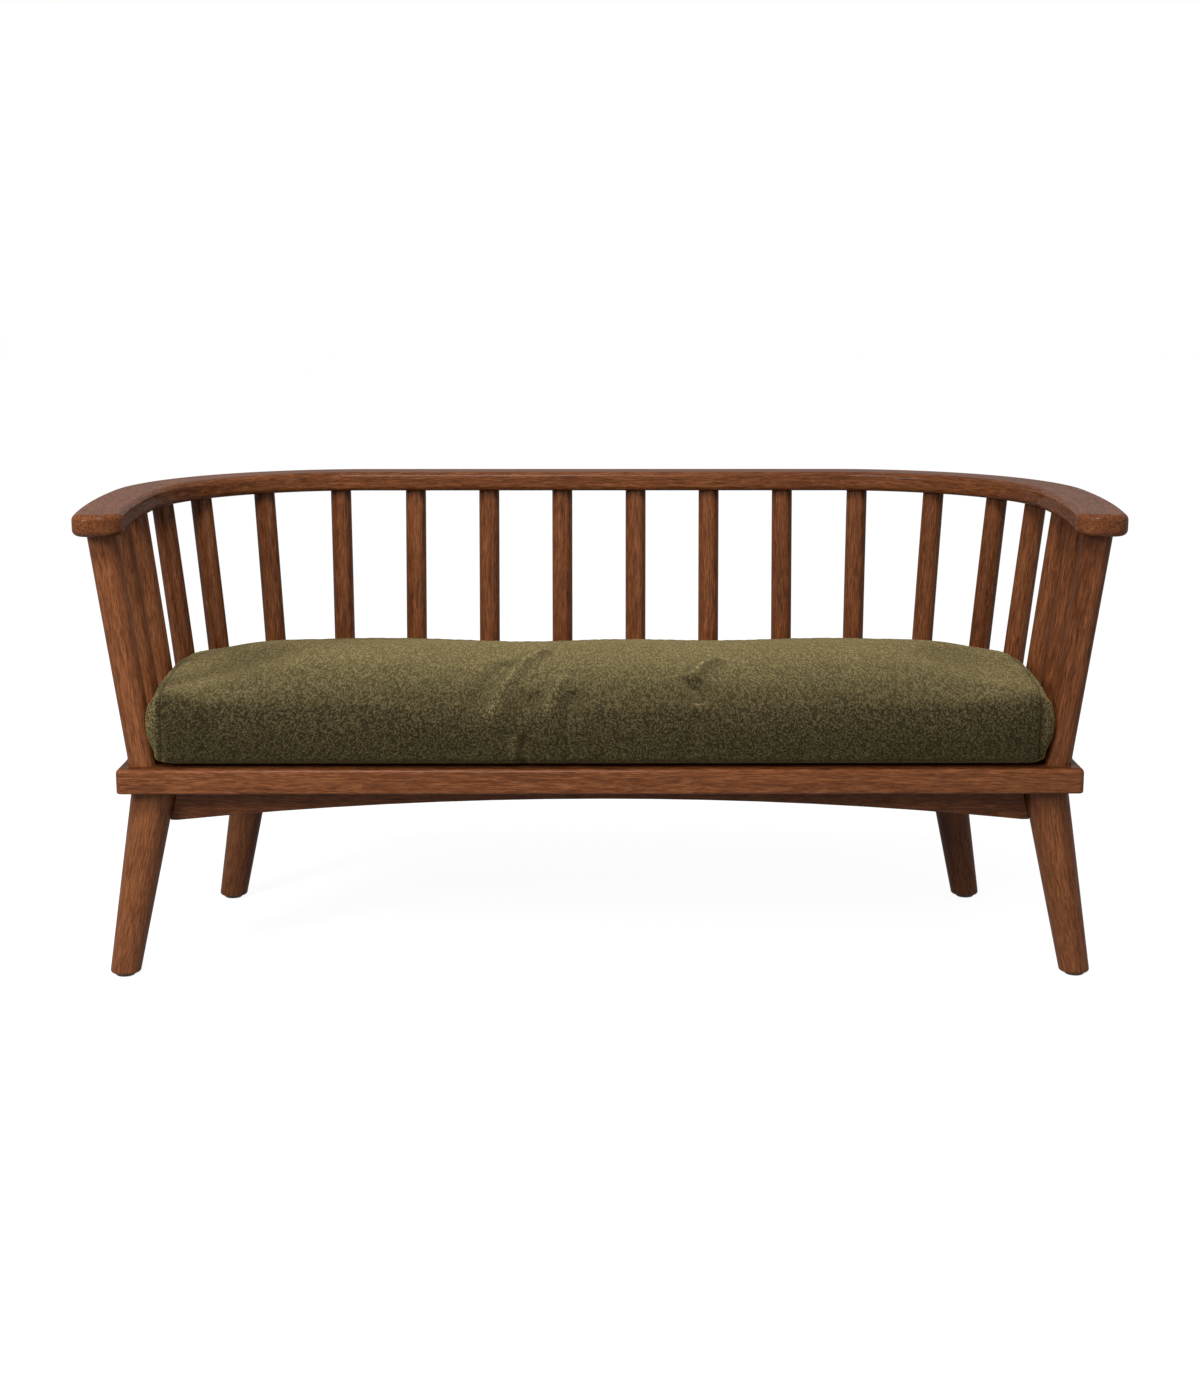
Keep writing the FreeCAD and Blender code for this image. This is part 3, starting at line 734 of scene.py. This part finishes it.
def settleCushion(piece):
    # the filled form takes the middle section, each way by how far the surface faces that way
    topY, topZ = np.array(cushionForm["topLine"]).T
    frontY, frontZ = np.array(cushionForm["frontLine"]).T
    for _ in range(cushionForm["settlePasses"]):
        points, normals = readPoints(piece.data), readPoints(piece.data, "normal")
        middle = np.abs(points[:, 0]) < cushionForm["settleHalfWidth"]
        upward = np.maximum(normals[:, 2], 0) ** 2
        ahead = np.maximum(-normals[:, 1], 0) ** 2 * (points[:, 1] < cushionForm["settleFront"])
        used = middle & (upward > cushionForm["settleFacing"])
        depth, found = meanCurve(points[used, 1], points[used, 2], upward[used], *cushionForm["topSpan"])
        rise = soften(np.interp(depth, topY, topZ) - found)
        used = middle & (ahead > cushionForm["settleFacing"])
        level, found = meanCurve(points[used, 2], points[used, 1], ahead[used], *cushionForm["frontSpan"])
        push = soften(np.interp(level, frontZ, frontY) - found)
        points[:, 2] += upward * np.interp(points[:, 1], depth, rise)
        points[:, 1] += ahead * np.interp(points[:, 2], level, push)
        smooth = evenOut(piece.data, points, cushionForm["settleRounds"])
        above = ease(overBottom(points), *cushionForm["settleFoot"])[:, None]
        writePoints(piece.data, points + (smooth - points) * above)


def fullCushion(piece):
    points = readPoints(piece.data)
    x, y = points[:, 0].copy(), points[:, 1].copy()
    height = overBottom(points)
    depth = y - y.min()
    top = ease(height, *cushionForm["topHeight"])
    # the filling stands higher along the sides, and in the back corners
    inside = np.maximum(seamDistance(points) + cushionForm["seamInset"], 0)
    backward = ease(y, *cushionForm["backSide"])
    lift = cushionForm["sideLift"] + (cushionForm["backSideLift"] - cushionForm["sideLift"]) * backward
    lift *= np.exp(-(inside / cushionForm["sideLiftReach"]) ** 2)
    points[:, 2] += lift * ease(height, *cushionForm["sideLiftHeight"])
    cornerX, cornerY = cushionForm["backCorner"]
    reachX, reachY = cushionForm["backCornerReach"]
    corner = np.exp(-((np.abs(x) - cornerX) / reachX) ** 2 - ((y - cornerY) / reachY) ** 2)
    points[:, 2] += cushionForm["backCornerLift"] * corner * top
    # the front corners swell past the posts
    outward = np.sign(x) * ease(np.abs(x), *cushionForm["cornerSwellAside"])
    outward *= 1 - ease(depth, *cushionForm["cornerSwellDepth"])
    outward *= ease(height, *cushionForm["cornerSwellHeight"])
    points[:, 0] += cushionForm["cornerSwell"] * outward
    # the lower front edge stands clear of the seat
    forward = 1 - ease(depth, *cushionForm["frontLiftDepth"])
    low = 1 - ease(height, *cushionForm["frontLiftHeight"])
    points[:, 2] += cushionForm["frontLift"] * forward * low
    for place, reach, drop in cushionForm["dips"]:
        points[:, 2] -= drop * np.exp(-((x - place) / reach) ** 2) * top
    writePoints(piece.data, points)


def foldCushion(piece):
    points, normals = readPoints(piece.data), readPoints(piece.data, "normal")
    move, crestHighlight = np.zeros(len(points)), np.zeros(len(points))
    for line, width, height in cushionFolds:
        line = np.array(line)
        away = np.full(len(points), 1.0)
        for first, second in zip(line[:-1], line[1:]):
            step = second - first
            part = np.clip((points - first) @ step / (step @ step), 0, 1)
            away = np.minimum(away, np.linalg.norm(points - first - part[:, None] * step, axis=1))
        move += height * np.exp(-(away / width) ** 2)
        # raised folds get a painted highlight along their crests
        if height > 0:
            crestHighlight += cushionForm["crestHighlightShare"] * np.exp(-(away / (cushionForm["crestHighlightWidth"] * width)) ** 2)
    writePoints(piece.data, points + normals * move[:, None])
    marked = piece.data.attributes.new("crestHighlight", "FLOAT", "POINT")
    marked.data.foreach_set("value", np.clip(crestHighlight, 0, 1).astype(np.float32))


def seamSlope(points, step=0.0005):
    slope = np.zeros_like(points)
    for axis in range(2):
        move = step * np.eye(3)[axis]
        slope[:, axis] = (seamDistance(points + move) - seamDistance(points - move)) / (2 * step)
    return slope


def sewCushion(piece):
    points = readPoints(piece.data)
    height = overBottom(points)
    away = seamDistance(points)
    # bring the nearest points onto the seam line
    near = (np.abs(away) < cushionForm["seamSnap"]) & (height > cushionForm["seamFoot"])
    points[near] -= seamSlope(points)[near] * away[near, None]
    writePoints(piece.data, points)
    normals = readPoints(piece.data, "normal")
    away = seamDistance(points)
    run = points[:, 1] + cushionForm["puckerSlant"] * np.abs(points[:, 0])
    pucker = 1.0
    for strength, length, start in cushionForm["puckers"]:
        pucker = pucker + strength * np.sin(run / length + start)
    groove = -cushionForm["grooveDepth"] * np.exp(-(away / cushionForm["grooveWidth"]) ** 2)
    beside = (np.abs(away) - cushionForm["puffPlace"]) / cushionForm["puffWidth"]
    puff = cushionForm["puffRise"] * np.exp(-beside ** 2) * pucker
    points += normals * ((groove + puff) * ease(height, *cushionForm["grooveHeight"]))[:, None]
    writePoints(piece.data, points)
    sewn = piece.data.attributes.new("seam", "FLOAT", "POINT")
    sewn.data.foreach_set("value", np.where(height > cushionForm["seamFoot"], away, 1.0).astype(np.float32))


def clearUprights(piece):
    points = readPoints(piece.data)
    margin, reach = cushionForm["clearance"], cushionForm["near"]
    for label in sides:
        for node in [f"arm_post_{label}"] + [f"spindle_{label}_{n}" for n in spindleNumbers]:
            mesh = nodes[node].data
            tree = BVHTree.FromPolygons([v.co for v in mesh.vertices], [p.vertices[:] for p in mesh.polygons])
            low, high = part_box(node)
            close = np.all((points > np.array(low) - reach) & (points < np.array(high) + reach), axis=1)
            for number in np.flatnonzero(close):
                spot, normal, _, _ = tree.find_nearest(Vector(points[number]))
                if (Vector(points[number]) - spot).dot(normal) < margin:
                    points[number] = spot + normal * margin
    writePoints(piece.data, points)


def makeCushion():
    piece = startCushion()
    shapeCushion(piece)
    fillCushion(piece)
    settleCushion(piece)
    fullCushion(piece)
    finer = piece.modifiers.new("finer", "SUBSURF")
    finer.levels = finer.render_levels = 1
    piece.data = evaluatedMesh(piece)
    piece.modifiers.clear()
    foldCushion(piece)
    sewCushion(piece)
    clearUprights(piece)
    for polygon in piece.data.polygons:
        polygon.use_smooth = True
    dress(piece.data, makeChenille())
    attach(piece, "cushion")
    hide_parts("seat_cushion")
    return piece


cushion = makeCushion()
print("cushion made:", len(cushion.data.polygons), "faces")


# floor, world, lamps and camera

studio = {
    "floorHalf": 30.0,
    "floorBounce": 0.20,
    "floorSeen": 0.30,
    "floorGlow": 0.92,
    "ambient": 0.26,
}


def seenDirectly(tree):
    path = addNode(tree, "LightPath").outputs
    seen = addMath(tree, "MAXIMUM", path["Is Camera Ray"], path["Is Glossy Ray"])
    return addMath(tree, "MAXIMUM", seen, path["Is Transmission Ray"])


def makeFloor():
    mesh = bpy.data.meshes.new("studioFloor")
    plane = bmesh.new()
    bmesh.ops.create_grid(plane, x_segments=1, y_segments=1, size=studio["floorHalf"])
    plane.to_mesh(mesh)
    plane.free()
    floor = bpy.data.objects.new("studioFloor", mesh)
    scene.collection.objects.link(floor)
    material, tree, shader = newMaterial("paleFloor")
    tree.nodes.remove(tree.nodes["Principled BSDF"])
    bounce = addNode(tree, "BsdfDiffuse", {"Color": (*[studio["floorBounce"]] * 3, 1)})
    matt = addNode(tree, "BsdfDiffuse", {"Color": (*[studio["floorSeen"]] * 3, 1)})
    glow = addNode(tree, "Emission", {"Strength": studio["floorGlow"]})
    shown = addNode(tree, "AddShader", {0: matt.outputs[0], 1: glow.outputs[0]})
    mix = addNode(tree, "MixShader", {0: seenDirectly(tree), 1: bounce.outputs[0], 2: shown.outputs[0]})
    tree.links.new(mix.outputs[0], tree.nodes["Material Output"].inputs["Surface"])
    mesh.materials.append(material)


def makeWorld():
    world = bpy.data.worlds.new("studioWorld")
    world.use_nodes = True
    tree = world.node_tree
    tree.nodes.clear()
    level = addMapRange(tree, seenDirectly(tree), 0.0, 1.0, studio["ambient"], 1.0)
    light = addNode(tree, "Background", {"Color": (1, 1, 1, 1), "Strength": level})
    output = addNode(tree, "OutputWorld")
    tree.links.new(light.outputs[0], output.inputs["Surface"])
    scene.world = world


lamps = {
    "keyLamp": {"place": (-0.6, -2.7, 3.8), "target": (0, 0, 0.4), "size": (1.6, 1.6), "power": 122},
    "leftLamp": {"place": (-2.5, -2.9, 2.0), "target": (0, 0, 0.4), "size": (1.0, 1.0), "power": 64},
    "rightLamp": {"place": (2.4, -3.0, 1.3), "target": (0, 0, 0.4), "size": (1.2, 1.2), "power": 10},
}


def makeLamps():
    for name, lamp in lamps.items():
        light = bpy.data.lights.new(name, "AREA")
        light.shape = "RECTANGLE"
        light.size, light.size_y = lamp["size"]
        light.energy = lamp["power"]
        holder = bpy.data.objects.new(name, light)
        holder.location = lamp["place"]
        aim = Vector(lamp["target"]) - Vector(lamp["place"])
        holder.rotation_euler = aim.to_track_quat("-Z", "Y").to_euler()
        scene.collection.objects.link(holder)


viewpoint = {
    "place": (-0.012, -3.5248, 1.1047), "down": 0.199, "aside": 0.0036, "lens": 54.35, "sensor": 36.0,
}


def makeCamera():
    camera = bpy.data.objects.new("camera", bpy.data.cameras.new("camera"))
    camera.data.lens = viewpoint["lens"]
    camera.data.sensor_width = viewpoint["sensor"]
    camera.location = viewpoint["place"]
    camera.rotation_euler = (math.pi / 2 - viewpoint["down"], 0, -viewpoint["aside"])
    scene.collection.objects.link(camera)
    scene.camera = camera


makeFloor()
makeWorld()
makeLamps()
makeCamera()
scene.view_settings.view_transform = "Standard"
print("studio ready")
